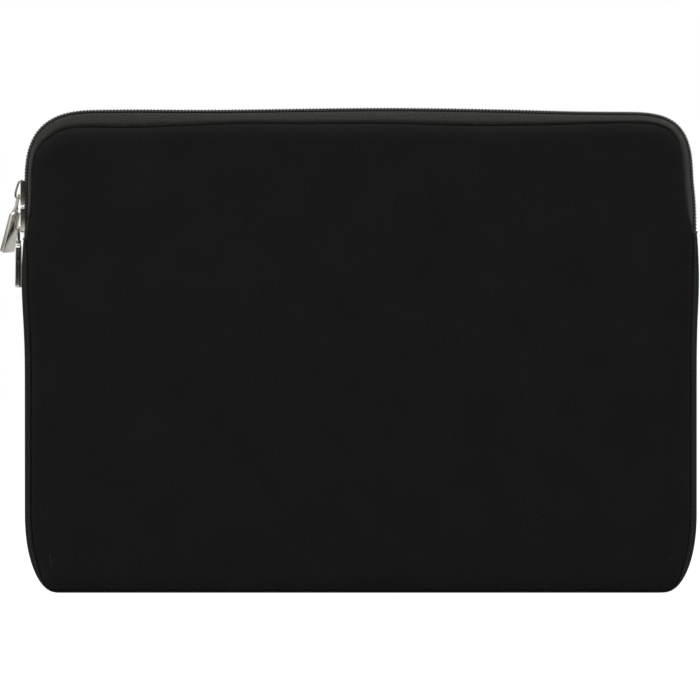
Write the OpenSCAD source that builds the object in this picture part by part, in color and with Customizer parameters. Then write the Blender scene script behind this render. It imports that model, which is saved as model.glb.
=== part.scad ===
// Padded sleeve for a 15.6-inch laptop, standing upright on its lower edge.
// X runs along the width, -Y is the front, Z is up. Units are millimetres.
// The origin is the centre of the flat bottom. Two face panels are joined by an edge
// strip: woven gusset round the bottom and lower sides, two-way coil zip above it.
// The upper front panel folds forward once the zip is open, so it is cut at a fold line.

/* [Sleeve] */
// Overall width
sleeve_w = 390; // [330:1:420]
// Overall height
sleeve_h = 279; // [262:1:320]
// Overall thickness
sleeve_t = 22; // [20:0.5:30]
// Radius of the two top corners
top_r = 47; // [44:1:55]
// Radius of the two bottom corners
bottom_r = 28; // [22:1:34]

/* [Layers] */
// Neoprene thickness inside the seam allowance
neoprene_t = 3.5; // [2.5:0.1:3.8]
// Thickness of the fabric sewn between panel and lining
allowance_t = 1.0; // [0.6:0.1:1.2]
// Lining thickness
lining_t = 1.2; // [0.6:0.1:1.4]
// Thickness of the seam binding inside
binding_t = 0.8; // [0.5:0.1:0.9]
// Woven gusset thickness
gusset_t = 1.8; // [1.2:0.1:1.8]
// Zip tape thickness
tape_t = 1.2; // [0.8:0.1:1.2]

/* [Zip] */
// Height of the coil above its tape
coil_t = 1.7; // [1.4:0.1:1.7]
// Half the width of the closed chain
chain_half = 3.0; // [2.8:0.1:3.1]
// Height of the zip's left end
zip_end_left = 203; // [195:1:204]
// Height of the zip's right end
zip_end_right = 207; // [195:1:207]
// Height of the fold line at the left edge
fold_left = 240; // [239:1:246]
// Height of the fold line at the right edge
fold_right = 208.4; // [208.4:0.2:230]

/* [Sliders] */
// Height of the lower slider's centre
lower_slider_z = 213.5; // [213:0.5:214]
// Slider body length
slider_l = 12; // [11:0.5:12]
// Slider body width
slider_w = 8.6; // [8.4:0.1:8.8]
// Crown strap width
crown_w = 1.8; // [1.4:0.1:2]

/* [Pulls] */
// Pull length from the crown to the tip
pull_l = 34.5; // [26:0.5:36]
// Pull tab thickness
tab_t = 2.8; // [2:0.1:2.8]
// Pull tab width at the tip
tab_w = 9.8; // [7:0.2:10]
// Outward lean of the upper pull
pull_tilt = 14; // [12:1:16]
// Sideways lean of the upper pull, past the lower crown
pull_lean = 16; // [16:1:22]
// Twist of the upper tab on its ring
pull_twist = 33; // [0:1:35]

/* [Hidden] */
half_w = sleeve_w / 2;
half_t = sleeve_t / 2;
panel_back_y = half_t - neoprene_t;
allow_back_y = panel_back_y - allowance_t;
lining_back_y = allow_back_y - lining_t;
binding_back_y = lining_back_y - binding_t;

// Insets from the outline
coil_in = 0.6;
tape_in = coil_in + coil_t;
tape_back_in = tape_in + tape_t;
lining_in = tape_back_in + 0.3;
allowance_in = 12;
rebate_in = allowance_in + 0.2;
binding_in = 14;
parting = 0.6;

// Face panel outline: wider margins at the top, where the tape band shows, and none below,
// so that the sleeve stands on its whole thickness
panel_side = 4.5;
panel_top = 8;
panel_bottom = 0;
panel_top_r = 42;
panel_bottom_r = 26;

// The flap keeps this far from the pieces below the fold
fold_gap = 0.3;

// Zip stops, and the fabric tabs over the tape's ends
stop_h = 1.2;
stop_gap = 0.3;
end_tab_t = 1.2;
end_tab_h = 17;
end_tab_half = 6;

// Slider sections, measured outward from the sleeve's outline
plate_lo = -0.2;
plate_hi = 0.8;
base_lo = -5.1;
base_hi = -4.3;
flange_lo = -2.0;
flange_in = 3.4;
base_half = 4.0;
neck_half = 0.22;
neck_l = 3;

// Crown: a strap bent over the pull ring
crown_hole_r = 1.3;
crown_t = 0.9;
crown_end = 3.1;
bar_out = plate_hi + crown_hole_r + 0.2;
upper_slider_z = sleeve_h - top_r;
upper_bar_z = upper_slider_z - crown_end;
lower_bar_z = lower_slider_z - crown_end;

// Pull ring of round wire, and the tab that hangs in it
wire_r = 0.55;
ring_half = 2.6;
ring_l = 8.4;
eye_half = 1.4;
eye_hole_r = 0.85;
tab_top_w = 6.6;
tab_shoulder = 11.5;

big = 1000;
$fn = 96;

neoprene_colour = [0.10, 0.10, 0.10];
lining_colour = [0.16, 0.16, 0.17];
woven_colour = [0.13, 0.13, 0.13];
coil_colour = [0.20, 0.20, 0.19];
nickel_colour = [0.74, 0.73, 0.70];

// Rectangle from x -w/2 to w/2 and z lo to hi with round corners, in the X-Z plane
module rounded(w, lo, hi, rt, rb) {
  h = w / 2;
  translate([-h, lo + rb]) square([w, hi - lo - rb - rt]);
  translate([-h + rt, lo + rb]) square([w - 2 * rt, hi - lo - rb]);
  translate([-h + rb, lo]) square([w - 2 * rb, hi - lo - rt]);
  for (s = [-1, 1]) {
    translate([s * (h - rt), hi - rt]) circle(rt);
    translate([s * (h - rb), lo + rb]) circle(rb);
  }
}

// Stands a 2-D shape drawn in X-Z up between two depths
module stand(y0, y1) {
  translate([0, y1, 0]) rotate([90, 0, 0]) linear_extrude(y1 - y0) children();
}

// Sleeve outline, inset by d
module outline(d) {
  rounded(sleeve_w - 2 * d, d, sleeve_h - d, top_r - d, bottom_r - d);
}

module face_outline() {
  rounded(sleeve_w - 2 * panel_side, panel_bottom, sleeve_h - panel_top,
          panel_top_r, panel_bottom_r);
}

module plate(d, y0, y1) {
  stand(y0, y1) outline(d);
}

module ring(d0, d1, y0, y1) {
  difference() {
    plate(d0, y0, y1);
    plate(d1, y0 - 1, y1 + 1);
  }
}

// Half-space above or below a line that crosses the left and right edges
module side_of_line(z_left, z_right, up) {
  slope = (z_right - z_left) / sleeve_w;
  stand(-big, big) polygon([
    [-big, z_left + slope * (half_w - big)],
    [big, z_right + slope * (big - half_w)],
    [big, up * big],
    [-big, up * big]
  ]);
}

module above_fold() {
  intersection() {
    children();
    side_of_line(fold_left + fold_gap / 2, fold_right + fold_gap / 2, 1);
  }
}

module below_fold() {
  intersection() {
    children();
    side_of_line(fold_left - fold_gap / 2, fold_right - fold_gap / 2, -1);
  }
}

module above_zip_ends() {
  intersection() {
    children();
    side_of_line(zip_end_left, zip_end_right, 1);
  }
}

module below_zip_ends() {
  intersection() {
    children();
    side_of_line(zip_end_left, zip_end_right, -1);
  }
}

module left_half() {
  intersection() {
    children();
    translate([-big, -big, -big]) cube([big, 2 * big, 2 * big]);
  }
}

module to_back() {
  mirror([0, 1, 0]) children();
}

// Neoprene face, thinned along its edge for the seam allowance
module face_front() {
  stand(-half_t, -panel_back_y) face_outline();
  plate(rebate_in, -panel_back_y, -allow_back_y);
}

module lining_front() {
  plate(lining_in, -allow_back_y, -lining_back_y);
}

module binding_front() {
  ring(lining_in, binding_in, -lining_back_y, -binding_back_y);
}

// Zip tape: the wall that carries the coil, and the allowance sewn under the face
module tape_front() {
  ring(tape_in, allowance_in, -panel_back_y, -allow_back_y);
  ring(tape_in, tape_back_in, -allow_back_y, -parting);
}

module coil_strip_front() {
  ring(coil_in, tape_in, -chain_half, -parting);
}

module back_panel() {
  color(neoprene_colour) to_back() face_front();
}

module back_lining() {
  color(lining_colour) to_back() lining_front();
}

module front_panel_lower() {
  color(neoprene_colour) below_fold() face_front();
}

module front_panel_flap() {
  color(neoprene_colour) above_fold() face_front();
}

module front_lining_lower() {
  color(lining_colour) below_fold() lining_front();
}

module front_lining_flap() {
  color(lining_colour) above_fold() lining_front();
}

module seam_binding_back() {
  color(woven_colour) to_back() binding_front();
}

module seam_binding_front_lower() {
  color(woven_colour) below_fold() binding_front();
}

module seam_binding_front_flap() {
  color(woven_colour) above_fold() binding_front();
}

// Woven strip round the bottom and lower sides, with an allowance on each side
module gusset_strip() {
  color(woven_colour) below_zip_ends() {
    ring(0, gusset_t, -panel_back_y, panel_back_y);
    for (s = [-1, 1])
      ring(gusset_t, allowance_in,
           min(s * panel_back_y, s * allow_back_y), max(s * panel_back_y, s * allow_back_y));
  }
}

module zip_tape_back() {
  color(woven_colour) above_zip_ends() to_back() tape_front();
}

module zip_tape_front_flap() {
  color(woven_colour) above_fold() tape_front();
}

module zip_tape_front_end() {
  color(woven_colour) left_half() below_fold() above_zip_ends() tape_front();
}

module above_stops() {
  intersection() {
    children();
    side_of_line(zip_end_left + stop_h + stop_gap, zip_end_right + stop_h + stop_gap, 1);
  }
}

module coil_back() {
  color(coil_colour) above_stops() to_back() coil_strip_front();
}

module coil_front_flap() {
  color(coil_colour) above_fold() coil_strip_front();
}

module coil_front_end() {
  color(coil_colour) left_half() below_fold() above_stops() coil_strip_front();
}

// Stop across the end of the chain
module zip_stop(side, z) {
  x = side * (half_w - (coil_in + tape_in) / 2);
  translate([x - coil_t / 2, -chain_half, z]) cube([coil_t, 2 * chain_half, stop_h]);
}

module zip_stop_left() {
  color(coil_colour) zip_stop(-1, zip_end_left + 0.1);
}

module zip_stop_right() {
  color(coil_colour) zip_stop(1, zip_end_right);
}

// Fabric tab folded over the tape's end, inside the gusset
module end_tab(side, z_top) {
  x = side * (half_w - gusset_t - end_tab_t / 2);
  translate([x - end_tab_t / 2, -end_tab_half, z_top - end_tab_h])
    cube([end_tab_t, 2 * end_tab_half, end_tab_h]);
}

module zip_end_tab_left() {
  color(woven_colour) end_tab(-1, zip_end_left - 0.1);
}

module zip_end_tab_right() {
  color(woven_colour) end_tab(1, zip_end_right - 0.1);
}

// Places a shape drawn as [outward, y, along the chain] on the left edge
module on_left_edge(z) {
  translate([-half_w, 0, z]) mirror([1, 0, 0]) children();
}

// Slider: outer plate with side flanges, inner plate, and the neck between the chains
module slider_body(mouth) {
  translate([plate_lo, -slider_w / 2, -slider_l / 2])
    cube([plate_hi - plate_lo, slider_w, slider_l]);
  for (s = [-1, 1])
    translate([flange_lo, s * (slider_w / 2 + flange_in) / 2 - (slider_w / 2 - flange_in) / 2,
               -slider_l / 2])
      cube([plate_lo - flange_lo, slider_w / 2 - flange_in, slider_l]);
  translate([base_lo, -base_half, -slider_l / 2])
    cube([base_hi - base_lo, 2 * base_half, slider_l]);
  translate([base_hi, -neck_half, mouth * (slider_l - neck_l) / 2 - neck_l / 2])
    cube([plate_lo - base_hi, 2 * neck_half, neck_l]);
}

// Stadium-ended arch profile in the plane of travel, drawn as [outward, along]
module arch_profile(r) {
  top = bar_out + r;
  translate([plate_hi, -crown_end]) square([top - plate_hi, 2 * crown_end]);
  for (s = [-1, 1]) {
    translate([bar_out, s * crown_end]) circle(r);
    translate([plate_hi, s * crown_end - r]) square([bar_out - plate_hi, 2 * r]);
  }
}

module slider_crown() {
  rotate([90, 0, 0]) translate([0, 0, -crown_w / 2]) linear_extrude(crown_w) difference() {
    arch_profile(crown_hole_r + crown_t);
    arch_profile(crown_hole_r);
    translate([-big, -big / 2]) square([big + plate_hi, big]);
  }
}

// Wire ring, hanging from its top bar, which is centred on the origin
module pull_ring() {
  for (z = [0, -ring_l])
    translate([0, ring_half, z]) rotate([90, 0, 0]) cylinder(h = 2 * ring_half, r = wire_r);
  for (s = [-1, 1]) {
    translate([0, s * ring_half, -ring_l]) cylinder(h = ring_l, r = wire_r);
    for (z = [0, -ring_l]) translate([0, s * ring_half, z]) sphere(wire_r);
  }
}

// Flat tab that widens to its tip, drawn as [y, z] below the ring's top bar
module tab_profile() {
  polygon([
    [-eye_half, -ring_l + 2], [eye_half, -ring_l + 2],
    [eye_half, -ring_l - 1.6], [tab_top_w / 2, -tab_shoulder],
    [tab_w / 2, -pull_l + 1], [tab_w / 2 - 1, -pull_l],
    [-tab_w / 2 + 1, -pull_l], [-tab_w / 2, -pull_l + 1],
    [-tab_top_w / 2, -tab_shoulder], [-eye_half, -ring_l - 1.6]
  ]);
}

module pull_tab(twist) {
  difference() {
    rotate([0, 0, -twist]) rotate([90, 0, 90]) translate([0, 0, -tab_t / 2])
      linear_extrude(tab_t) tab_profile();
    translate([0, 5, -ring_l]) rotate([90, 0, 0]) cylinder(h = 10, r = eye_hole_r);
  }
}

// Hangs a pull from a crown's lower end, leaning outward and sideways
module hang_pull(bar_z, tilt, lean) {
  translate([-half_w - bar_out, 0, bar_z]) rotate([0, tilt, 0]) rotate([lean, 0, 0]) children();
}

module slider_upper_body() {
  color(nickel_colour) on_left_edge(upper_slider_z) slider_body(-1);
}

module slider_upper_crown() {
  color(nickel_colour) on_left_edge(upper_slider_z) slider_crown();
}

module slider_lower_body() {
  color(nickel_colour) on_left_edge(lower_slider_z) slider_body(1);
}

module slider_lower_crown() {
  color(nickel_colour) on_left_edge(lower_slider_z) slider_crown();
}

module pull_ring_upper() {
  color(nickel_colour) hang_pull(upper_bar_z, pull_tilt, pull_lean) pull_ring();
}

module pull_tab_upper() {
  color(nickel_colour) hang_pull(upper_bar_z, pull_tilt, pull_lean) pull_tab(pull_twist);
}

module pull_ring_lower() {
  color(nickel_colour) hang_pull(lower_bar_z, 0, 0) pull_ring();
}

module pull_tab_lower() {
  color(nickel_colour) hang_pull(lower_bar_z, 0, 0) pull_tab(0);
}

back_panel();
back_lining();
front_panel_lower();
front_lining_lower();
gusset_strip();
zip_tape_back();
coil_back();
zip_tape_front_end();
coil_front_end();
zip_stop_left();
zip_stop_right();
zip_end_tab_left();
zip_end_tab_right();
seam_binding_back();
seam_binding_front_lower();
front_panel_flap();
front_lining_flap();
zip_tape_front_flap();
coil_front_flap();
seam_binding_front_flap();
slider_upper_body();
slider_upper_crown();
pull_ring_upper();
pull_tab_upper();
slider_lower_body();
slider_lower_crown();
pull_ring_lower();
pull_tab_lower();
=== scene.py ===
"""Looks for the laptop sleeve: padded neoprene faces, woven edge strips, a wound coil zip
and nickel sliders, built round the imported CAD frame. Lengths are in metres."""
import math

import bpy
import bmesh
import numpy as np
from mathutils import Matrix, Vector


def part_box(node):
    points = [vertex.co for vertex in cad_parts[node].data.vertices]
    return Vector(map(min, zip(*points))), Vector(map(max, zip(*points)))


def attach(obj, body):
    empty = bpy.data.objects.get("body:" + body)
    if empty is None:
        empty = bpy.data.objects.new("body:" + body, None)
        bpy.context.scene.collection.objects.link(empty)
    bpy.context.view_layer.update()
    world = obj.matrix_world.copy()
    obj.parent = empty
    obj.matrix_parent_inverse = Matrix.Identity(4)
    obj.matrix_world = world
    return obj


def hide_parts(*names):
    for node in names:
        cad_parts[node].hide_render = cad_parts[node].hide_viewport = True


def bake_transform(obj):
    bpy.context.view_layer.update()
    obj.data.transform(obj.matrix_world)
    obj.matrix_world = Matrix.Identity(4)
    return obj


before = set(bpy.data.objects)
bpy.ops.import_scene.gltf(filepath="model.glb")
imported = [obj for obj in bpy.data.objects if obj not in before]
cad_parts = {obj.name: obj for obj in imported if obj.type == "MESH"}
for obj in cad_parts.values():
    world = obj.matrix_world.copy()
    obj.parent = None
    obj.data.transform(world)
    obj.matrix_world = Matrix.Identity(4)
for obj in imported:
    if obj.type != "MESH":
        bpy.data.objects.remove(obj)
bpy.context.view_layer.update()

MM = 0.001

# Places taken from the frame
GUSSET_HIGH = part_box("gusset_strip")[1]
PANEL_LOW, PANEL_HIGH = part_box("back_panel")
LINING_LOW, LINING_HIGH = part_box("back_lining")
BINDING_LOW, BINDING_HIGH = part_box("seam_binding_back")
COIL_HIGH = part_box("coil_back")[1]
HALF_W = GUSSET_HIGH.x
FACE_Y = PANEL_HIGH.y
ALLOWANCE_Y = PANEL_LOW.y
ZIP_LEFT_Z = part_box("zip_tape_front_end")[0].z
ZIP_RIGHT_Z = GUSSET_HIGH.z

# Depth of the faces' seams, and how far the edge's line passes outside the CAD coil
SEAM_Y = 7.7 * MM
COIL_INSET = 0.6 * MM
TOP_Z = COIL_HIGH.z + COIL_INSET
MID_Z = TOP_Z / 2

# The wound coil: CHAIN_ values are measured outward from the sleeve's edge, COIL_Y and
# COIL_HALF_W across the zip
COIL_PITCH = 1.945 * MM
CHAIN_MIDDLE = -1.35 * MM
CHAIN_HALF = 1.15 * MM
WIRE_R = 0.4 * MM
COIL_Y = 1.42 * MM
COIL_HALF_W = 1.36 * MM


# ---------------------------------------------------------------- camera, light, floor

def make_camera():
    """Level view of the front, through a long lens."""
    data = bpy.data.cameras.new("camera")
    data.lens = 120
    data.sensor_width = 36
    camera = bpy.data.objects.new("camera", data)
    bpy.context.scene.collection.objects.link(camera)
    view_width, centre_x, centre_z = 0.4042, -0.0059, 0.1397
    distance = view_width * data.lens / data.sensor_width
    camera.location = (centre_x, -distance, centre_z)
    camera.rotation_euler = (math.radians(90), 0, 0)
    bpy.context.scene.camera = camera


def make_area(name, place, aim, size, power):
    """A soft rectangular lamp that faces aim."""
    data = bpy.data.lights.new(name, "AREA")
    data.shape = "RECTANGLE"
    data.size, data.size_y = size
    data.energy = power
    lamp = bpy.data.objects.new(name, data)
    lamp.location = place
    lamp.rotation_mode = "QUATERNION"
    lamp.rotation_quaternion = (Vector(aim) - Vector(place)).to_track_quat("-Z", "Y")
    bpy.context.scene.collection.objects.link(lamp)


def make_world():
    """White to the camera, but a dimmer room to everything else: black in front,
    brighter at both sides, so that the nickel has something to mirror. Mirrored rays
    see the room at full strength, and soft light from it is weaker."""
    world = bpy.data.worlds.new("room")
    bpy.context.scene.world = world
    world.use_nodes = True
    tree = world.node_tree
    room = tree.nodes["Background"]
    coords = tree.nodes.new("ShaderNodeTexCoord")
    split = tree.nodes.new("ShaderNodeSeparateXYZ")
    depth = tree.nodes.new("ShaderNodeMapRange")
    ramp = tree.nodes.new("ShaderNodeValToRGB")
    tree.links.new(coords.outputs["Generated"], split.inputs[0])
    tree.links.new(split.outputs["Y"], depth.inputs["Value"])
    depth.inputs["From Min"].default_value = -1.0
    tree.links.new(depth.outputs[0], ramp.inputs[0])
    tree.links.new(ramp.outputs[0], room.inputs["Color"])
    stops = ramp.color_ramp.elements
    stops[0].position = 0.13
    stops[0].color = (0.015, 0.015, 0.015, 1)
    stops[1].position = 1.0
    stops[1].color = (0.20, 0.20, 0.20, 1)
    side = stops.new(0.30)
    side.color = (0.46, 0.445, 0.41, 1)
    backdrop = tree.nodes.new("ShaderNodeBackground")
    backdrop.inputs["Color"].default_value = (1, 1, 1, 1)
    rays = tree.nodes.new("ShaderNodeLightPath")
    strength = tree.nodes.new("ShaderNodeMapRange")
    strength.inputs["To Min"].default_value = 0.62
    tree.links.new(rays.outputs["Is Glossy Ray"], strength.inputs["Value"])
    tree.links.new(strength.outputs[0], room.inputs["Strength"])
    mix = tree.nodes.new("ShaderNodeMixShader")
    tree.links.new(rays.outputs["Is Camera Ray"], mix.inputs[0])
    tree.links.new(room.outputs[0], mix.inputs[1])
    tree.links.new(backdrop.outputs[0], mix.inputs[2])
    tree.links.new(mix.outputs[0], tree.nodes["World Output"].inputs["Surface"])


def whiten_for_camera(tree, shader):
    """Lifts what the camera sees to white, with a trace of the contact shadow left."""
    glow = tree.nodes.new("ShaderNodeEmission")
    glow.inputs["Color"].default_value = (1, 1, 1, 1)
    glow.inputs["Strength"].default_value = 1.32
    rays = tree.nodes.new("ShaderNodeLightPath")
    share = tree.nodes.new("ShaderNodeMath")
    share.operation = "MULTIPLY"
    share.inputs[1].default_value = 0.72
    mix = tree.nodes.new("ShaderNodeMixShader")
    tree.links.new(rays.outputs["Is Camera Ray"], share.inputs[0])
    tree.links.new(share.outputs[0], mix.inputs[0])
    tree.links.new(shader.outputs[0], mix.inputs[1])
    tree.links.new(glow.outputs[0], mix.inputs[2])
    tree.links.new(mix.outputs[0], tree.nodes["Material Output"].inputs["Surface"])


def make_floor():
    """Wide pale floor."""
    reach = 12.0
    verts = [(-reach, -reach, 0), (reach, -reach, 0), (reach, reach, 0), (-reach, reach, 0)]
    mesh = bpy.data.meshes.new("floor")
    mesh.from_pydata(verts, [], [(0, 1, 2, 3)])
    floor = bpy.data.objects.new("floor", mesh)
    bpy.context.scene.collection.objects.link(floor)
    material = bpy.data.materials.new("pale_floor")
    material.use_nodes = True
    shader = material.node_tree.nodes["Principled BSDF"]
    shader.inputs["Base Color"].default_value = (0.93, 0.93, 0.93, 1)
    shader.inputs["Roughness"].default_value = 0.9
    shader.inputs["Specular IOR Level"].default_value = 0.1
    whiten_for_camera(material.node_tree, shader)
    mesh.materials.append(material)


# ---------------------------------------------------------------- materials

class Tree:
    """Short calls for building a material's nodes."""

    def __init__(self, name, colour, roughness, **sockets):
        self.material = bpy.data.materials.new(name)
        self.material.use_nodes = True
        self.nodes = self.material.node_tree.nodes
        self.links = self.material.node_tree.links
        self.shader = self.nodes["Principled BSDF"]
        self.shader.inputs["Base Color"].default_value = (*colour, 1)
        self.shader.inputs["Roughness"].default_value = roughness
        for key, value in sockets.items():
            self.shader.inputs[key.replace("_", " ")].default_value = value

    def put(self, socket, value):
        """Links a socket to another one, or sets it to a number."""
        if isinstance(value, bpy.types.NodeSocket):
            self.links.new(value, socket)
        else:
            socket.default_value = value

    def math(self, operation, a, b=0.0, c=0.0):
        node = self.nodes.new("ShaderNodeMath")
        node.operation = operation
        for socket, value in zip(node.inputs, (a, b, c)):
            self.put(socket, value)
        return node.outputs[0]

    def uv(self):
        """The piece's own cloth coordinates, in millimetres: (along, across)."""
        uv = self.nodes.new("ShaderNodeUVMap")
        uv.uv_map = "cloth"
        split = self.nodes.new("ShaderNodeSeparateXYZ")
        self.links.new(uv.outputs[0], split.inputs[0])
        return (self.math("MULTIPLY", split.outputs[0], 1000.0),
                self.math("MULTIPLY", split.outputs[1], 1000.0))

    def place(self, u, v):
        """Joins two cloth coordinates to a vector."""
        join = self.nodes.new("ShaderNodeCombineXYZ")
        self.put(join.inputs[0], u)
        self.put(join.inputs[1], v)
        return join.outputs[0]

    def object_place(self):
        """The point on the piece, in its own metres."""
        return self.nodes.new("ShaderNodeTexCoord").outputs["Object"]

    def noise(self, vector, scale, detail=3.0, roughness=0.55):
        node = self.nodes.new("ShaderNodeTexNoise")
        self.links.new(vector, node.inputs["Vector"])
        node.inputs["Scale"].default_value = scale
        node.inputs["Detail"].default_value = detail
        node.inputs["Roughness"].default_value = roughness
        return node.outputs["Fac"]

    def wave(self, x, period):
        """Sine of x with that period, from 0 to 1."""
        return self.math("MULTIPLY_ADD",
                         self.math("SINE", self.math("MULTIPLY", x, 2 * math.pi / period)),
                         0.5, 0.5)

    def ramp(self, x, low, high, colour_low, colour_high):
        """Blends from one colour to another while x goes from low to high."""
        node = self.nodes.new("ShaderNodeMix")
        node.data_type = "RGBA"
        self.links.new(self.spread(x, low, high, 0.0, 1.0), node.inputs["Factor"])
        node.inputs["A"].default_value = (*colour_low, 1)
        node.inputs["B"].default_value = (*colour_high, 1)
        return node.outputs["Result"]

    def spread(self, x, low, high, to_low, to_high):
        """Maps low..high to to_low..to_high."""
        node = self.nodes.new("ShaderNodeMapRange")
        self.links.new(x, node.inputs["Value"])
        for key, value in (("From Min", low), ("From Max", high),
                           ("To Min", to_low), ("To Max", to_high)):
            node.inputs[key].default_value = value
        return node.outputs["Result"]

    def bump(self, height, strength, distance):
        node = self.nodes.new("ShaderNodeBump")
        node.inputs["Strength"].default_value = strength
        node.inputs["Distance"].default_value = distance
        self.links.new(height, node.inputs["Height"])
        self.links.new(node.outputs[0], self.shader.inputs["Normal"])

    def colour(self, socket):
        self.links.new(socket, self.shader.inputs["Base Color"])

    def roughness(self, socket):
        self.links.new(socket, self.shader.inputs["Roughness"])


def neoprene_material():
    """Matte jersey-faced neoprene: a fine knit of V-shaped stitches over dull foam."""
    t = Tree("neoprene", (0.008, 0.008, 0.008), 0.85, Specular_IOR_Level=0.12,
             Sheen_Weight=0.05, Sheen_Roughness=0.45)
    u, v = t.uv()
    wale, course = 0.62, 0.5
    lean = t.math("PINGPONG", u, wale / 2)
    rows = t.wave(t.math("ADD", v, lean), course)
    ribs = t.wave(u, wale)
    knit = t.math("MULTIPLY", rows, t.math("MULTIPLY_ADD", ribs, 0.6, 0.4))
    place = t.place(u, v)
    fuzz = t.noise(place, 0.55, 5.0, 0.75)
    cloud = t.noise(place, 0.035, 3.0)
    patches = t.math("MULTIPLY_ADD", fuzz, 0.8, t.math("MULTIPLY", cloud, 0.2))
    t.colour(t.ramp(t.math("MULTIPLY_ADD", knit, 0.12, patches), 0.38, 0.7,
                    (0.0053, 0.0053, 0.0053), (0.0148, 0.0148, 0.0145)))
    t.roughness(t.spread(fuzz, 0.3, 0.7, 0.78, 0.95))
    t.bump(t.math("MULTIPLY_ADD", fuzz, 2.5, knit), 0.7, 0.12 * MM)
    return t.material


def lining_material():
    """Soft short-pile lining, slightly lighter than the face."""
    t = Tree("lining", (0.018, 0.018, 0.019), 0.95, Specular_IOR_Level=0.05,
             Sheen_Weight=0.35, Sheen_Roughness=0.5)
    u, v = t.uv()
    place = t.place(u, v)
    pile = t.noise(place, 1.6, 5.0, 0.7)
    nap = t.noise(place, 0.05, 3.0)
    t.colour(t.ramp(t.math("MULTIPLY_ADD", pile, 0.6, t.math("MULTIPLY", nap, 0.4)),
                    0.35, 0.65, (0.012, 0.012, 0.013), (0.03, 0.03, 0.032)))
    t.roughness(t.spread(nap, 0.3, 0.7, 0.85, 1.0))
    t.bump(pile, 0.8, 0.25 * MM)
    return t.material


def herringbone_material():
    """Woven strip: zigzag ribs of diagonal yarns."""
    t = Tree("gusset_weave", (0.02, 0.02, 0.019), 0.7, Specular_IOR_Level=0.2,
             Sheen_Weight=0.15, Sheen_Roughness=0.4)
    u, v = t.uv()
    rib, yarn, weft = 2.3, 0.85, 0.42
    zigzag = t.math("PINGPONG", v, rib)
    diagonal = t.wave(t.math("ADD", u, zigzag), yarn)
    cross = t.wave(v, weft)
    weave = t.math("MULTIPLY", diagonal, t.math("MULTIPLY_ADD", cross, 0.35, 0.65))
    fuzz = t.noise(t.place(u, v), 4.0, 3.0)
    t.colour(t.ramp(t.math("MULTIPLY_ADD", fuzz, 0.25, weave), 0.1, 1.0,
                    (0.004, 0.004, 0.004), (0.020, 0.020, 0.019)))
    t.roughness(t.spread(fuzz, 0.3, 0.7, 0.6, 0.85))
    t.bump(weave, 0.9, 0.16 * MM)
    return t.material


def tape_material():
    """Zip tape: close twill with ribs along its length."""
    t = Tree("tape_weave", (0.022, 0.022, 0.020), 0.65, Specular_IOR_Level=0.25,
             Sheen_Weight=0.2, Sheen_Roughness=0.4)
    u, v = t.uv()
    slope, yarn, rib = 0.8, 1.3, 0.9
    twill = t.wave(t.math("ADD", u, t.math("MULTIPLY", v, slope)), yarn)
    ribs = t.wave(v, rib)
    weave = t.math("MULTIPLY", twill, t.math("MULTIPLY_ADD", ribs, 0.5, 0.5))
    grain = t.noise(t.place(u, v), 0.7, 4.0, 0.75)
    t.colour(t.ramp(t.math("MULTIPLY_ADD", weave, 0.25, grain), 0.44, 0.76,
                    (0.004, 0.004, 0.0037), (0.044, 0.044, 0.040)))
    t.roughness(t.spread(grain, 0.3, 0.7, 0.55, 0.8))
    t.bump(t.math("MULTIPLY_ADD", grain, 2.0, weave), 1.0, 0.35 * MM)
    return t.material


def binding_material():
    """Ribbed binding tape over the inner seams."""
    t = Tree("binding_weave", (0.015, 0.015, 0.015), 0.75, Specular_IOR_Level=0.2,
             Sheen_Weight=0.1, Sheen_Roughness=0.4)
    u, v = t.uv()
    rib, weft = 0.8, 0.5
    ribs = t.wave(u, rib)
    cross = t.wave(v, weft)
    weave = t.math("MULTIPLY_ADD", cross, 0.3, t.math("MULTIPLY", ribs, 0.7))
    fuzz = t.noise(t.place(u, v), 3.0, 3.0)
    t.colour(t.ramp(t.math("MULTIPLY_ADD", fuzz, 0.3, weave), 0.1, 1.1,
                    (0.007, 0.007, 0.007), (0.022, 0.022, 0.022)))
    t.roughness(t.spread(fuzz, 0.3, 0.7, 0.65, 0.9))
    t.bump(weave, 0.8, 0.14 * MM)
    return t.material


def coil_material():
    """Satin nylon monofilament with a faint mottle."""
    t = Tree("coil_nylon", (0.17, 0.17, 0.158), 0.42, Specular_IOR_Level=0.3)
    place = t.object_place()
    mottle = t.noise(place, 1400.0, 3.0)
    t.colour(t.ramp(mottle, 0.3, 0.7, (0.13, 0.13, 0.12), (0.21, 0.21, 0.195)))
    t.roughness(t.spread(mottle, 0.3, 0.7, 0.35, 0.55))
    t.bump(mottle, 0.25, 0.03 * MM)
    return t.material


def thread_material():
    """Twisted black polyester thread."""
    t = Tree("thread", (0.03, 0.03, 0.03), 0.55, Specular_IOR_Level=0.3,
             Sheen_Weight=0.2, Sheen_Roughness=0.4)
    place = t.object_place()
    ply = t.noise(place, 3000.0, 2.0)
    t.colour(t.ramp(ply, 0.3, 0.7, (0.02, 0.02, 0.019), (0.05, 0.05, 0.047)))
    t.roughness(t.spread(ply, 0.3, 0.7, 0.45, 0.7))
    t.bump(ply, 0.5, 0.05 * MM)
    return t.material


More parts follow.
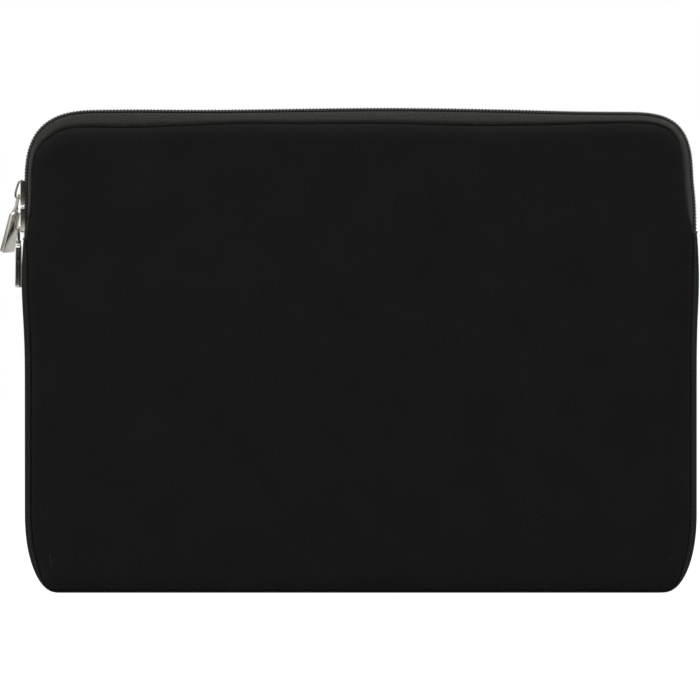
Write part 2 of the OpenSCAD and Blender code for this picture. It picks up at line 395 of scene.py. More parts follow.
def nickel_material():
    """Polished nickel plate, with faint casting ripple and handling scratches."""
    t = Tree("nickel", (0.72, 0.69, 0.64), 0.2, Metallic=1.0)
    place = t.object_place()
    stretch = t.nodes.new("ShaderNodeMapping")
    stretch.inputs["Scale"].default_value = (1.0, 1.0, 0.12)
    t.links.new(place, stretch.inputs["Vector"])
    scratch = t.noise(stretch.outputs[0], 9000.0, 3.0, 0.7)
    ripple = t.noise(place, 260.0, 2.0)
    t.colour(t.ramp(ripple, 0.3, 0.7, (0.66, 0.63, 0.58), (0.78, 0.76, 0.71)))
    t.roughness(t.spread(scratch, 0.35, 0.75, 0.12, 0.34))
    t.bump(t.math("MULTIPLY_ADD", scratch, 0.15, ripple), 0.25, 0.06 * MM)
    return t.material


# ---------------------------------------------------------------- mesh helpers

def add_piece(name, verts, faces, material, uvs=None):
    """Makes a smooth-shaded mesh object. uvs holds one (u, v) for each vertex."""
    mesh = bpy.data.meshes.new(name)
    mesh.from_pydata([tuple(v) for v in np.asarray(verts, float)], [], faces)
    layer = mesh.uv_layers.new(name="cloth")
    if uvs is not None:
        corner = np.zeros(len(mesh.loops), np.int32)
        mesh.loops.foreach_get("vertex_index", corner)
        layer.data.foreach_set("uv", np.asarray(uvs, np.float32)[corner].ravel())
    mesh.polygons.foreach_set("use_smooth", [True] * len(mesh.polygons))
    mesh.materials.append(material)
    mesh.validate()
    bm = bmesh.new()
    bm.from_mesh(mesh)
    bmesh.ops.recalc_face_normals(bm, faces=bm.faces)
    bm.to_mesh(mesh)
    bm.free()
    piece = bpy.data.objects.new(name, mesh)
    bpy.context.scene.collection.objects.link(piece)
    return piece


def grid_faces(rows, columns, close_rows=False):
    """Quads over a grid of vertices stored row by row. Each row is a closed ring."""
    faces = []
    for i in range(rows if close_rows else rows - 1):
        for j in range(columns):
            a, b = i * columns, (i + 1) % rows * columns
            k = (j + 1) % columns
            faces.append((a + j, a + k, b + k, b + j))
    return faces


def swept_faces(rows, columns):
    """The same, with a cap on the first and the last ring."""
    faces = grid_faces(rows, columns)
    faces.append(tuple(range(columns)))
    faces.append(tuple(range((rows - 1) * columns, rows * columns)))
    return faces


def tangents(path, closed=False):
    """Unit directions along a path."""
    if closed:
        ahead, behind = np.roll(path, -1, 0), np.roll(path, 1, 0)
    else:
        ahead = np.vstack([path[1:], path[-1:]])
        behind = np.vstack([path[:1], path[:-1]])
    along = ahead - behind
    return along / np.linalg.norm(along, axis=1)[:, None]


def tube(path, radius, sides, up, closed=False):
    """Sweeps a round section along a path. Returns (verts, faces)."""
    path = np.asarray(path, float)
    tangent = tangents(path, closed)
    side = np.cross(tangent, up)
    side /= np.linalg.norm(side, axis=1)[:, None]
    over = np.cross(side, tangent)
    angles = np.arange(sides) * 2 * math.pi / sides
    ring = (side[:, None] * np.cos(angles)[:, None] * radius
            + over[:, None] * np.sin(angles)[:, None] * radius)
    verts = (path[:, None] + ring).reshape(-1, 3)
    if closed:
        return verts, grid_faces(len(path), sides, close_rows=True)
    return verts, swept_faces(len(path), sides)


def arc(y, z, radius, start, end, steps=6):
    """Points on an arc round (y, z), from one angle in degrees to another."""
    points = []
    for i in range(steps + 1):
        a = math.radians(start + (end - start) * i / steps)
        points.append((y + radius * math.cos(a), z + radius * math.sin(a)))
    return points


def joined(parts):
    """Several (verts, faces) as one."""
    verts, faces, start = [], [], 0
    for v, f in parts:
        verts.append(np.asarray(v, float))
        faces += [tuple(start + i for i in face) for face in f]
        start += len(v)
    return np.vstack(verts), faces


# ---------------------------------------------------------------- the sleeve's outline

def quarter(power, count=240):
    """A superellipse quarter from (0, 1) to (1, 0), as (x, z)."""
    a = np.linspace(0, math.pi / 2, count)
    return np.sin(a) ** (2 / power), np.cos(a) ** (2 / power)


def top_wave(x):
    """How far the soft top edge stands from its straight line."""
    x = x / MM
    return MM * (-0.55 + 1.3 * np.exp(-((x - 14) / 75) ** 2) + 0.4 * np.exp(-((x + 130) / 28) ** 2)
                 - 0.9 / (1 + np.exp(-(x - 105) / 12)))


def side_wave(x, z):
    """The same for the side edges, which swell where the zip ends. The right one leans in
    toward the top corner."""
    z = z / MM
    lean = np.where(x > 0, 1.7 / (1 + np.exp(-(z - 232) / 4)),
                    0.6 / (1 + np.exp((z - 150) / 8)))
    return MM * (-lean - 1.3 + 1.3 * np.exp(-((z - 181) / 25) ** 2)
                 + 0.4 / (1 + np.exp(-(z - 205) / 6)))


class Outline:
    """The sleeve's edge as a closed curve. Distances run from the middle of the bottom,
    clockwise seen from the front: up the left side, over the top, down the right."""

    TOP_CORNER = 45 * MM
    BOTTOM_CORNER = (21 * MM, 46 * MM)

    def __init__(self, count):
        w, h, t = HALF_W, TOP_Z, self.TOP_CORNER
        bx, bz = self.BOTTOM_CORNER
        s, c = quarter(2.2)
        left_s, left_c = quarter(2.8)
        right_s, right_c = quarter(3.2)
        xs = [[0.0], -w + bx - bx * s, -w + t - t * left_c, w - t + t * right_s,
              w - bx + bx * c, [0.0]]
        zs = [[0.0], bz - bz * c, h - t + t * left_s, h - t + t * right_c,
              bz - bz * s, [0.0]]
        points = np.column_stack([np.concatenate(xs), np.concatenate(zs)])
        points = self.resample(points, 4 * count)
        normal = self.normals(points)
        swell = (np.clip(normal[:, 1], 0, 1) ** 2 * top_wave(points[:, 0])
                 + normal[:, 0] ** 2 * side_wave(points[:, 0], points[:, 1]))
        points = points + normal * swell[:, None]
        self.points = self.resample(np.vstack([points, points[:1]]), count)
        self.normal = self.normals(self.points)
        step = np.linalg.norm(np.roll(self.points, -1, 0) - self.points, axis=1)
        self.at = np.concatenate([[0], np.cumsum(step)[:-1]])
        self.length = step.sum()

    @staticmethod
    def resample(points, count):
        """count points at even distances along a line."""
        step = np.linalg.norm(np.diff(points, axis=0), axis=1)
        along = np.concatenate([[0], np.cumsum(step)])
        where = np.linspace(0, along[-1], count, endpoint=False)
        return np.column_stack([np.interp(where, along, points[:, k]) for k in (0, 1)])

    @staticmethod
    def normals(points):
        """Unit directions out of a closed line."""
        tangent = tangents(points, closed=True)
        return np.column_stack([-tangent[:, 1], tangent[:, 0]])

    def look_up(self, s, table):
        """Rows of a table of the outline's points, interpolated at distance s."""
        s = np.mod(s, self.length)
        at = np.append(self.at, self.length)
        table = np.vstack([table, table[:1]])
        return np.column_stack([np.interp(s, at, table[:, k]) for k in (0, 1)])

    def world(self, s, out, y):
        """Points at distance s along the edge, out from it, at depth y."""
        p = self.look_up(s, self.points)
        n = self.look_up(s, self.normal)
        n /= np.linalg.norm(n, axis=1)[:, None]
        p = p + n * np.asarray(out)[..., None]
        return np.column_stack([p[:, 0], np.broadcast_to(y, len(p)), p[:, 1]])

    def side_at(self, z, left):
        """The distance at which the left or right edge passes height z."""
        mask = (self.points[:, 0] < 0) == left
        mask &= abs(self.points[:, 0]) > HALF_W - 12 * MM
        index = np.where(mask)[0]
        index = index[np.argsort(self.points[index, 1])]
        return float(np.interp(z, self.points[index, 1], self.at[index]))


# The faces' inner grid: its quads across and up, and the inset, well past the rolled
# edge, at which its depth is worked out
GRID_W, GRID_H = 124, 84
DEEP = 50 * MM
EDGE = Outline(2 * (GRID_W + GRID_H))
ZIP_START = EDGE.side_at(ZIP_LEFT_Z, True)
ZIP_END = EDGE.side_at(ZIP_RIGHT_Z, False)


def band_width(s):
    """Width of the edge strip seen from the front, at distance s along the edge."""
    p = EDGE.look_up(s, EDGE.points) / MM
    x, z = p[:, 0], p[:, 1]
    top = (10.0 + 1.6 * np.exp(-((x + 135) / 30) ** 2) + 0.8 * np.exp(-((x - 62) / 32) ** 2)
           - 0.9 * np.exp(-((x + 66) / 22) ** 2) - 2.6 / (1 + np.exp(-(x - 118) / 12)))
    side = np.where(x < 0, 5.7, 7.6)
    upper = side + (top - side) / (1 + np.exp(-(z - 262) / 4.5))
    lower = 4.4 - 2.7 / (1 + np.exp((z - 9) / 2.6))
    near_end = 1 - 0.42 * np.exp(-((z - 205) / 11) ** 2)
    share = 1 / (1 + np.exp(-(z - 207) / 5))
    return MM * (lower + (upper - lower) * share) * near_end


# ---------------------------------------------------------------- padded faces and linings

def seam_ring(inset):
    """(x, z) points that run parallel to a face's seam."""
    return EDGE.points - EDGE.normal * (band_width(EDGE.at) + inset)[:, None]


def ring_sides():
    """The ring's point numbers along the bottom, top, left and right of a grid."""
    half, total = GRID_W // 2, 2 * (GRID_W + GRID_H)
    left = half + np.arange(GRID_H + 1)
    top = left[-1] + np.arange(GRID_W + 1)
    right = (top[-1] + np.arange(GRID_H + 1))[::-1]
    bottom = half - np.arange(GRID_W + 1)
    return bottom % total, top, left, right


def grid_inside(ring):
    """Points of an even grid that fills the ring, without its border."""
    bottom, top, left, right = (ring[i] for i in ring_sides())
    u = np.linspace(0, 1, GRID_W + 1)[None, :, None]
    v = np.linspace(0, 1, GRID_H + 1)[:, None, None]
    points = ((1 - v) * bottom[None] + v * top[None]
              + (1 - u) * left[:, None] + u * right[:, None]
              - (1 - u) * (1 - v) * bottom[0] - u * (1 - v) * bottom[-1]
              - (1 - u) * v * top[0] - u * v * top[-1])
    return points[1:-1, 1:-1].reshape(-1, 2)


def grid_faces_inside(ring_start, inner_start):
    """Quads of that grid, on its ring's vertices and its own."""
    bottom, top, left, right = ring_sides()
    index = np.zeros((GRID_H + 1, GRID_W + 1), int)
    index[0], index[-1] = ring_start + bottom, ring_start + top
    index[:, 0], index[:, -1] = ring_start + left, ring_start + right
    index[1:-1, 1:-1] = inner_start + np.arange((GRID_H - 1) * (GRID_W - 1)).reshape(
        GRID_H - 1, GRID_W - 1)
    a, b = index[:-1, :-1].ravel(), index[:-1, 1:].ravel()
    c, d = index[1:, 1:].ravel(), index[1:, :-1].ravel()
    return [tuple(int(i) for i in q) for q in zip(a, b, c, d)]


def gentle_relief(x, z):
    """Slow unevenness of soft foam lying over nothing."""
    x, z = x / MM, z / MM
    return MM * (0.22 * np.sin(x / 41 + 0.6) * np.sin(z / 37 + 1.1)
                 + 0.12 * np.sin(x / 19 + z / 27) + 0.08 * np.sin(z / 11 - x / 33 + 2.0))


def face_height(inset, x, z):
    """Depth of the padded face at a distance inside its seam: rolled edge, slight crown."""
    roll = 8.5 * MM
    t = np.clip((inset - 0.25 * MM) / roll, 0, 1)
    edge = SEAM_Y + (FACE_Y - SEAM_Y) * np.sin(t * math.pi / 2) ** 0.6
    crown = 0.9 * MM * np.clip(1 - (x / HALF_W) ** 2, 0, 1) * np.clip(
        1 - ((z - MID_Z) / MID_Z) ** 2, 0, 1)
    return edge + crown + gentle_relief(x, z) * t


def skin(side, depth, insets):
    """One skin of a face: rings in from the seam, then a grid. Returns verts, faces, uvs."""
    parts = [(seam_ring(inset), inset) for inset in insets]
    parts.append((grid_inside(parts[-1][0]), DEEP))
    verts = [np.column_stack([p[:, 0], side * depth(inset, p[:, 0], p[:, 1]), p[:, 1]])
             for p, inset in parts]
    n, rows = len(EDGE.points), len(insets)
    faces = grid_faces(rows, n)
    faces += grid_faces_inside((rows - 1) * n, rows * n)
    return np.vstack(verts), faces, np.vstack([p for p, _ in parts])


def shell(name, side, outer_y, inner_y, insets, material):
    """A closed sheet: an outer skin, an inner skin and the rim between them."""
    n = len(EDGE.points)
    verts, faces, uvs = skin(side, outer_y, insets)
    inner_verts, inner_faces, inner_uvs = skin(side, inner_y, [insets[0], insets[-1]])
    start = len(verts)
    faces += [tuple(start + i for i in face) for face in inner_faces]
    faces += [(i, (i + 1) % n, start + (i + 1) % n, start + i) for i in range(n)]
    return add_piece(name, np.vstack([verts, inner_verts]), faces, material,
                     np.vstack([uvs, inner_uvs]))


def make_faces(neoprene, lining):
    """Both padded faces and their linings."""
    insets = [d * MM for d in (0.25, 0.35, 0.55, 0.9, 1.5, 2.6, 4.2, 6.0, 8.5)]
    lining_insets = [d * MM for d in (2.2, 3.0, 4.5, 8.5)]
    pieces = {}
    for side, which in ((-1, "front"), (1, "back")):
        face = shell(f"{which}_padded_face", side, face_height,
                     lambda inset, x, z: np.full(len(x), ALLOWANCE_Y), insets,
                     neoprene)
        inside = shell(f"{which}_soft_lining", side,
                       lambda inset, x, z: np.full(len(x), LINING_HIGH.y - 0.1 * MM),
                       lambda inset, x, z: LINING_LOW.y + 0.5 * gentle_relief(x, z),
                       lining_insets, lining)
        pieces[which] = (face, inside)
    for piece in pieces["back"]:
        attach(piece, "root")
    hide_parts("back_panel")
    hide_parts("back_lining")
    for piece in pieces["front"]:
        bend_at_fold(piece)
    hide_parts("front_panel_lower", "front_panel_flap")
    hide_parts("front_lining_lower", "front_lining_flap")


def bend_at_fold(piece):
    """Bakes a front piece's placement into its mesh."""
    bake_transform(piece)


# ---------------------------------------------------------------- strips along the edge

def stations(start, end, step):
    """Even distances along the edge, about step apart."""
    count = max(int(round((end - start) / step)), 2) + 1
    return np.linspace(start, end, count)


def swept_piece(name, s, section, across, material):
    """A closed sweep along the edge. section has a ring of (out, y) points for each
    distance in s, and across says how far along the cloth's width each point is."""
    columns = section.shape[1]
    flat = section.reshape(-1, 2)
    verts = EDGE.world(np.repeat(s, columns), flat[:, 0], flat[:, 1])
    uvs = np.column_stack([np.repeat(s, columns), np.tile(across, len(s))])
    return add_piece(name, verts, swept_faces(len(s), columns), material, uvs)


def edge_strip(name, start, end, profile, thick, material, step=3 * MM):
    """A closed cloth strip along the edge. profile(s) gives its outer line as
    (out, y) arrays with one row for each distance and one column for each point."""
    s = stations(start, end, step)
    line = np.stack(profile(s), axis=2)
    along = np.gradient(line, axis=1)
    along /= np.linalg.norm(along, axis=2)[:, :, None]
    inward = np.stack([along[:, :, 1], -along[:, :, 0]], axis=2)
    toward = np.sign(inward[:, line.shape[1] // 2, 0])
    inward *= -toward[:, None, None]
    inner = line + inward * thick
    section = np.concatenate([line, inner[:, ::-1]], axis=1)
    widths = np.linalg.norm(np.diff(line[len(s) // 2], axis=0), axis=1)
    across = np.concatenate([[0], np.cumsum(widths)])
    there_and_back = np.concatenate([across, across[::-1]])
    piece = swept_piece(name, s, section, there_and_back, material)
    return piece


def edge_bar(name, start, end, profile, material, step=2 * MM):
    """A solid bar along the edge, closed across its open side."""
    s = stations(start, end, step)
    section = np.stack(profile(s), axis=2)
    across = np.arange(section.shape[1]) * 0.4 * MM
    return swept_piece(name, s, section, across, material)


def smooth_line(knots, count):
    """A soft curve through knots, each an (out, y) pair of arrays, with count points."""
    knots = np.array([[np.broadcast_to(a, knots[0][0].shape) for a in k] for k in knots])
    t = np.linspace(0, len(knots) - 1, count)
    k = np.clip(t.astype(int), 0, len(knots) - 2)
    f = (t - k)[:, None, None]
    last = len(knots) - 1
    p0, p1 = knots[np.maximum(k - 1, 0)], knots[k]
    p2, p3 = knots[k + 1], knots[np.minimum(k + 2, last)]
    curve = 0.5 * (2 * p1 + (p2 - p0) * f + (2 * p0 - 5 * p1 + 4 * p2 - p3) * f ** 2
                   + (3 * p1 - p0 - 3 * p2 + p3) * f ** 3)
    return curve[:, 0].T, curve[:, 1].T


def tape_profile(side):
    """Zip tape from under the face's seam, up its slope, to beneath the coil."""
    def profile(s):
        w = band_width(s)
        bed = CHAIN_MIDDLE - CHAIN_HALF - 0.1 * MM + 0 * w
        knots = [(-w - 2.4 * MM, side * 6.9 * MM + 0 * w),
                 (-w - 0.2 * MM, side * 6.95 * MM + 0 * w),
                 (-w + 0.6 * MM, side * 7.7 * MM + 0 * w),
                 (-w * 0.72 + bed * 0.28, side * 8.1 * MM + 0 * w),
                 ((-w + bed) / 2, side * 7.4 * MM + 0 * w),
                 (-w * 0.22 + bed * 0.78, side * 6.0 * MM + 0 * w),
                 (bed - 0.2 * MM, side * 4.4 * MM + 0 * w),
                 (bed, side * 3.2 * MM + 0 * w),
                 (bed, side * 0.7 * MM + 0 * w)]
        return smooth_line(knots, 25)
    return profile


def gusset_profile(s):
    """Woven strip from the front seam round the edge to the back seam. It dips a little
    where it meets the zip's ends."""
    w = band_width(s)
    half = [(-w - 2.2 * MM, 6.9 * MM + 0 * w),
            (-w - 0.15 * MM, 7.0 * MM + 0 * w),
            (-w * 0.76, 7.95 * MM + 0 * w),
            (-w * 0.22, 7.0 * MM + 0 * w),
            (-0.12 * MM + 0 * w, 5.2 * MM + 0 * w)]
    front = [(a, -b) for a, b in half]
    knots = front + [(0 * w, 0 * w)] + half[::-1]
    out, y = smooth_line(knots, 33)
    to_end = np.minimum(abs(s - ZIP_START), abs(s + EDGE.length - ZIP_END))
    return out - (COIL_INSET * np.exp(-to_end / (7 * MM)))[:, None], y


def binding_profile(side):
    """Binding folded over the inner seam."""
    inner, outer = BINDING_LOW.y, BINDING_HIGH.y
    def profile(s):
        z = 0 * s
        knots = [(z - 4.0 * MM, side * (outer - 0.05 * MM) + z),
                 (z - 4.6 * MM, side * inner + z),
                 (z - 9.0 * MM, side * (inner - 0.15 * MM) + z),
                 (z - 13.6 * MM, side * inner + z),
                 (z - 14.2 * MM, side * (outer - 0.05 * MM) + z)]
        return smooth_line(knots, 13)
    return profile


def make_strips(tape, weave, binding):
    """Zip tapes, seam bindings and the woven gusset."""
    gap = 0.1 * MM
    for side, which in ((-1, "front"), (1, "back")):
        strip = edge_strip(f"{which}_zip_tape", ZIP_START, ZIP_END, tape_profile(side),
                           0.7 * MM, tape, step=2 * MM)
        bound = edge_strip(f"{which}_seam_binding", 2 * MM, EDGE.length - 2 * MM,
                           binding_profile(side), 0.35 * MM, binding)
        if side < 0:
            bend_at_fold(strip)
            bend_at_fold(bound)
            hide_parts("zip_tape_front_end", "zip_tape_front_flap")
            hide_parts("seam_binding_front_lower", "seam_binding_front_flap")
        else:
            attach(strip, "root")
            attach(bound, "root")
            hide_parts("zip_tape_back")
            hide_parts("seam_binding_back")
    gusset = edge_strip("woven_gusset", ZIP_END + gap - EDGE.length, ZIP_START - gap,
                        gusset_profile, 0.9 * MM, weave)
    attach(gusset, "root")
    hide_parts("gusset_strip")


# ---------------------------------------------------------------- zip coil and stitches

def coil_loops(side, start, end, phase):
    """A wound coil: its path leans from turn to turn as the filament crosses the chain."""
    turns = round((end - start) / COIL_PITCH)
    pitch = (end - start) / turns
    per_turn = 14
    t = np.arange(turns * per_turn + 1) / per_turn
    angle = 2 * math.pi * t
    half_h = CHAIN_HALF - WIRE_R
    squareness, lean_across, lean_up = 0.7, 0.12, 0.3
    c, z = np.cos(angle), np.sin(angle)
    across = np.sign(c) * abs(c) ** squareness
    height = np.sign(z) * abs(z) ** squareness
    s = start + pitch * (t + phase + lean_across * across + lean_up * height)
    path = EDGE.world(s, CHAIN_MIDDLE + half_h * height,
                      side * (COIL_Y + COIL_HALF_W * across))
    centre = EDGE.world(s, np.full(len(s), CHAIN_MIDDLE), np.full(len(s), side * COIL_Y))
    up = path - centre
    up /= np.linalg.norm(up, axis=1)[:, None]
    return tube(path, WIRE_R, 6, up)


def core_profile(side):
    """Cord that fills the coil."""
    def profile(s):
        z = 0 * s
        top, low = CHAIN_MIDDLE + CHAIN_HALF - 0.6 * MM, CHAIN_MIDDLE - CHAIN_HALF
        middle = (top + low) / 2
        knots = [(z + out, side * y * MM + z) for out, y in (
            (low, 2.5), (middle, 2.5), (top, 2.3), (top, 1.4), (top, 0.5),
            (middle, 0.35), (low, 0.35))]
        return smooth_line(knots, 13)
    return profile


def stitch_row(start, end, pitch, length, radius, place):
    """A row of stitches. place(s) gives points on the cloth; each stitch dips at its ends."""
    parts = []
    sides = 6
    count = int((end - start) / pitch)
    t = np.linspace(-0.5, 0.5, 5)
    swell = np.array([0.35, 0.85, 1.0, 0.85, 0.35])
    for i in range(count):
        s = start + (i + 0.5) * pitch + t * length
        points, lift = place(s)
        points = points + lift * (radius * 0.9 * (1 - (2 * t) ** 2) - radius * 0.5)[:, None]
        verts, faces = tube(points, radius, sides, lift)
        middle = np.repeat(points, sides, axis=0)
        verts = middle + (verts - middle) * np.repeat(swell, sides)[:, None]
        parts.append((verts, faces))
    return joined(parts)


def on_edge(out, y, tilt):
    """Places stitches at a fixed place on the edge strip. tilt leans them to the face."""
    def place(s):
        w = band_width(s)
        p = EDGE.world(s, out(w), y)
        q = EDGE.world(s, out(w) + math.cos(tilt) * MM, y + math.sin(tilt) * MM)
        lift = (q - p) / np.linalg.norm(q - p, axis=1)[:, None]
        return p, lift
    return place


def make_zip(coil, cord_painted_shade):
    """The wound coil of both halves, each with the cord that fills it. The cord is a real filling,
    but its dark binding finish is painted shade that darkens the gaps between the coil's turns.
    """
    start, end = ZIP_START + 1.5 * MM, ZIP_END - 1.5 * MM
    for side, which, phase in ((-1, "front", -0.25), (1, "back", 0.25)):
        verts, faces = coil_loops(side, start, end, phase)
        piece = add_piece(f"{which}_wound_coil", verts, faces, coil)
        # The core's dark finish is painted shade: it stands in for the shade in the gaps between
        # the turns.
        core = edge_bar(f"{which}_coil_core_painted_shade", start - 0.3 * MM, end + 0.3 * MM,
                        core_profile(side), cord_painted_shade)
        if side < 0:
            for soft in (piece, core):
                bend_at_fold(soft)
            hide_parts("coil_front_end", "coil_front_flap")
        else:
            for soft in (piece, core):
                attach(soft, "root")
            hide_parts("coil_back")


def make_gusset_stitches(thread):
    """The dotted seam along both borders of the woven strip."""
    for side, which in ((-1, "front"), (1, "back")):
        place = on_edge(lambda w: -w * 0.62, side * 7.72 * MM, side * math.radians(62))
        verts, faces = stitch_row(ZIP_END - EDGE.length + 4 * MM, ZIP_START - 4 * MM,
                                  2.6 * MM, 2.0 * MM, 0.26 * MM, place)
        piece = add_piece(f"{which}_gusset_stitches", verts, faces, thread)
        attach(piece, "root")


# ---------------------------------------------------------------- small solids

def bevelled(verts, faces, width):
    """(verts, faces) with its sharp edges rounded."""
    mesh = bpy.data.meshes.new("work")
    mesh.from_pydata([tuple(v) for v in verts], [], faces)
    bm = bmesh.new()
    bm.from_mesh(mesh)
    bmesh.ops.recalc_face_normals(bm, faces=bm.faces)
    sharp = [e for e in bm.edges if e.calc_face_angle(0) > math.radians(25)]
    bmesh.ops.bevel(bm, geom=sharp, offset=width, segments=3, profile=0.5,
                    affect="EDGES", clamp_overlap=True)
    out_v = np.array([v.co[:] for v in bm.verts])
    bm.verts.index_update()
    out_f = [tuple(v.index for v in f.verts) for f in bm.faces]
    bm.free()
    bpy.data.meshes.remove(mesh)
    return out_v, out_f


def prism(outline, low, high, axis, width):
    """A bevelled prism. outline holds (a, b) pairs in the plane across axis."""
    n = len(outline)
    verts = []
    for level in (low, high):
        for a, b in outline:
            point = [a, b]
            point.insert(axis, level)
            verts.append(point)
    faces = [tuple(range(n))[::-1], tuple(range(n, 2 * n))]
    faces += [(i, (i + 1) % n, n + (i + 1) % n, n + i) for i in range(n)]
    return bevelled(np.array(verts), faces, width)


def moved(parts, matrix):
    """(verts, faces) after a transform."""
    verts, faces = parts
    m = np.array(matrix, float)
    return verts @ m[:3, :3].T + m[:3, 3], faces


def on_left_edge(z):
    """From (outward, y, along) to the sleeve's left edge at height z."""
    return Matrix(((-1, 0, 0, -HALF_W), (0, 1, 0, 0), (0, 0, 1, z), (0, 0, 0, 1)))


def slider_parts(mouth):
    """Outer plate with a waisted plan, side flanges, inner plate and neck. The mouth is
    the end that the neck divides, +1 for the upper end and -1 for the lower."""
    half_l, nose_extra, wide, narrow = 5.9 * MM, 2.9 * MM, 4.25 * MM, 4.0 * MM
    lip_in, lip_out, neck_half = 3.45 * MM, 4.2 * MM, 0.22 * MM
    nose, tail = mouth * (half_l + nose_extra), -mouth * half_l
    half = [(wide * 0.82, nose), (wide, nose * 0.88), (wide, nose * 0.1),
            (narrow, tail * 0.55), (narrow * 0.88, tail)]
    plan = [(-a, b) for a, b in half] + half[::-1]
    parts = [prism(plan, -0.1 * MM, 0.75 * MM, 0, 0.3 * MM)]
    for s in (-1, 1):
        lip = [(s * lip_in, nose * 0.93), (s * lip_out, nose * 0.86),
               (s * lip_out, nose * 0.1), (s * 3.95 * MM, tail * 0.55),
               (s * 3.5 * MM, tail * 0.9)]
        parts.append(prism(lip, -1.95 * MM, 0.1 * MM, 0, 0.1 * MM))
    base = [(a * 0.93, b) for a, b in plan]
    parts.append(prism(base, -5.05 * MM, -4.3 * MM, 0, 0.25 * MM))
    low, high = sorted((nose * 0.97, nose * 0.62))
    neck = [(-neck_half, low), (neck_half, low), (neck_half, high), (-neck_half, high)]
    parts.append(prism(neck, -4.5 * MM, 0.0, 0, 0.05 * MM))
    return joined(parts)


def crown_parts():
    """The strap that arches over the plate, with a lug at each foot."""
    knots = [(np.array([u * MM]), np.array([z * MM])) for u, z in (
        (0.3, 5.0), (1.5, 4.85), (2.35, 3.9), (2.95, 2.2), (3.6, 0.2), (4.05, -2.2),
        (3.9, -4.0), (2.7, -4.85), (1.4, -5.0), (0.3, -5.0))]
    count, sides = 40, 16
    out, along = smooth_line(knots, count)
    path = np.column_stack([out[0], np.zeros(count), along[0]])
    half_w, half_t = 0.9 * MM, 0.62 * MM
    tangent = tangents(path)
    normal = np.column_stack([tangent[:, 2], np.zeros(count), -tangent[:, 0]])
    section = []
    for i in range(sides):
        a = 2 * math.pi * i / sides
        c, s = math.cos(a), math.sin(a)
        section.append((math.copysign(abs(c) ** 0.5, c) * half_w,
                        math.copysign(abs(s) ** 0.7, s) * half_t))
    verts = []
    for i in range(count):
        for y, t in section:
            verts.append(path[i] + normal[i] * t + np.array([0, y, 0]))
    parts = [(np.array(verts), swept_faces(count, sides))]
    for s in (-1, 1):
        foot = [(-1.25 * MM, s * 3.9 * MM), (1.25 * MM, s * 3.9 * MM),
                (1.0 * MM, s * 5.5 * MM), (-1.0 * MM, s * 5.5 * MM)]
        parts.append(prism(foot, 0.5 * MM, 1.35 * MM, 0, 0.25 * MM))
    return joined(parts)


# The pull's wire ring
RING_HALF = 2.6 * MM
RING_L = 8.4 * MM
RING_WIRE_R = 0.55 * MM


def ring_parts():
    """Wire ring with rounded corners, hanging from its top bar."""
    r = 1.3 * MM
    corners = [(-RING_HALF + r, -r, 180, 90), (RING_HALF - r, -r, 90, 0),
               (RING_HALF - r, -RING_L + r, 0, -90), (-RING_HALF + r, -RING_L + r, -90, -180)]
    path = []
    for cy, cz, start, end in corners:
        path += [(0.0, y, z) for y, z in arc(cy, cz, r, start, end)]
    up = np.tile(np.array([1.0, 0.0, 0.0]), (len(path), 1))
    return tube(path, RING_WIRE_R, 12, up, closed=True)


def tab_parts(twist):
    """Tab that widens to a rounded tip, and the knuckle that holds it on the ring."""
    length, half_t = 34.5 * MM, 1.35 * MM
    eye, top, tip, tip_r = 1.4 * MM, 3.2 * MM, 4.9 * MM, 1.2 * MM
    shoulder = -RING_L - 2.6 * MM
    left = [(-eye, -RING_L - 1.0 * MM), (-eye, shoulder + 0.9 * MM),
            (-top + 0.4 * MM, shoulder), (-top, shoulder - 0.8 * MM)]
    outline = left + arc(-tip + tip_r, -length + tip_r, tip_r, 180, 270)
    outline += arc(tip - tip_r, -length + tip_r, tip_r, 270, 360)
    outline += [(-a, b) for a, b in left[::-1]]
    blade = prism(outline, -half_t, half_t, 0, 0.38 * MM)
    blade = moved(blade, Matrix.Rotation(-math.radians(twist), 4, "Z"))
    knuckle, sides = [], 24
    for r, y in ((0.8, -1.6), (1.15, -1.6), (1.35, -1.4), (1.35, 1.4), (1.15, 1.6), (0.8, 1.6)):
        for i in range(sides):
            a = 2 * math.pi * i / sides
            knuckle.append((r * MM * math.cos(a), y * MM, -RING_L + r * MM * math.sin(a)))
    hoop = (np.array(knuckle), grid_faces(6, sides, close_rows=True))
    return joined([blade, hoop])


# From a slider's middle down to the crown's bar
BAR_DROP = 3.1 * MM


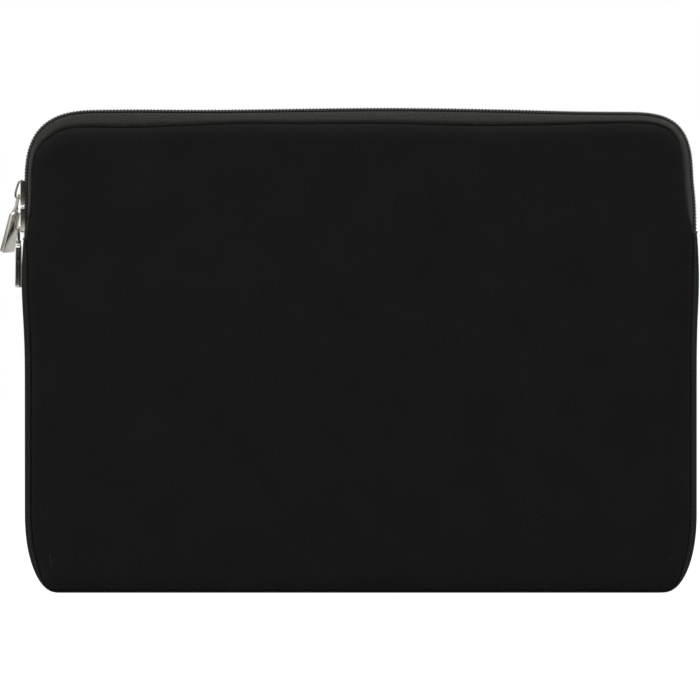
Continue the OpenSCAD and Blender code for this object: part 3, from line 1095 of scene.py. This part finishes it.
def hang(bar_z, tilt, lean):
    """Hangs a pull from the crown's bar."""
    bar_out = 2.3 * MM
    bar = Matrix.Translation((-HALF_W - bar_out, 0, bar_z))
    return (bar @ Matrix.Rotation(math.radians(tilt), 4, "Y")
            @ Matrix.Rotation(math.radians(lean), 4, "X"))


def make_hardware(nickel):
    """Both sliders with their crowns, rings and tabs. The numbers are the mouth's end and
    the pull's tilt, lean and twist in degrees."""
    for which, mouth, tilt, lean, twist in (("upper", -1, 14, 16, 33), ("lower", 1, 0, 0, 0)):
        low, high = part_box(f"slider_{which}_body")
        z = (low.z + high.z) / 2
        bar_z = z - BAR_DROP
        body, pull = f"slider_{which}", f"pull_{which}"
        shapes = (
            ("slider_plates", slider_parts(mouth), on_left_edge(z), body, f"slider_{which}_body"),
            ("crown_strap", crown_parts(), on_left_edge(z), body, f"slider_{which}_crown"),
            ("wire_ring", ring_parts(), hang(bar_z, tilt, lean), pull, f"pull_ring_{which}"),
            ("tab", tab_parts(twist), hang(bar_z, tilt, lean), pull, f"pull_tab_{which}"),
        )
        for name, parts, matrix, rides, node in shapes:
            verts, faces = moved(parts, matrix)
            piece = add_piece(f"{which}_{name}", verts, faces, nickel)
            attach(piece, rides)
            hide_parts(node)


def finish_small_nodes(binding, coil):
    """The stops and end tabs keep their CAD shape and get their finish."""
    for node, material in (("zip_stop_left", coil), ("zip_stop_right", coil),
                           ("zip_end_tab_left", binding), ("zip_end_tab_right", binding)):
        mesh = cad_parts[node].data
        mesh.materials.clear()
        mesh.materials.append(material)


# ---------------------------------------------------------------- build

bpy.context.scene.view_settings.view_transform = "Standard"
make_camera()
make_world()
make_floor()
make_area("top_softbox", (0.0, -0.3, 1.3), (0, 0.0, 0.2), (1.8, 1.0), 15)
make_area("left_softbox", (-1.2, -0.8, 0.6), (0, 0, 0.15), (0.7, 0.9), 1.4)

THREAD = thread_material()
COIL = coil_material()
BINDING = binding_material()
make_faces(neoprene_material(), lining_material())
make_strips(tape_material(), herringbone_material(), BINDING)
# The coils' cores take the dark binding finish as painted shade between the coil's turns.
make_zip(COIL, BINDING)
make_gusset_stitches(THREAD)
make_hardware(nickel_material())
finish_small_nodes(BINDING, COIL)
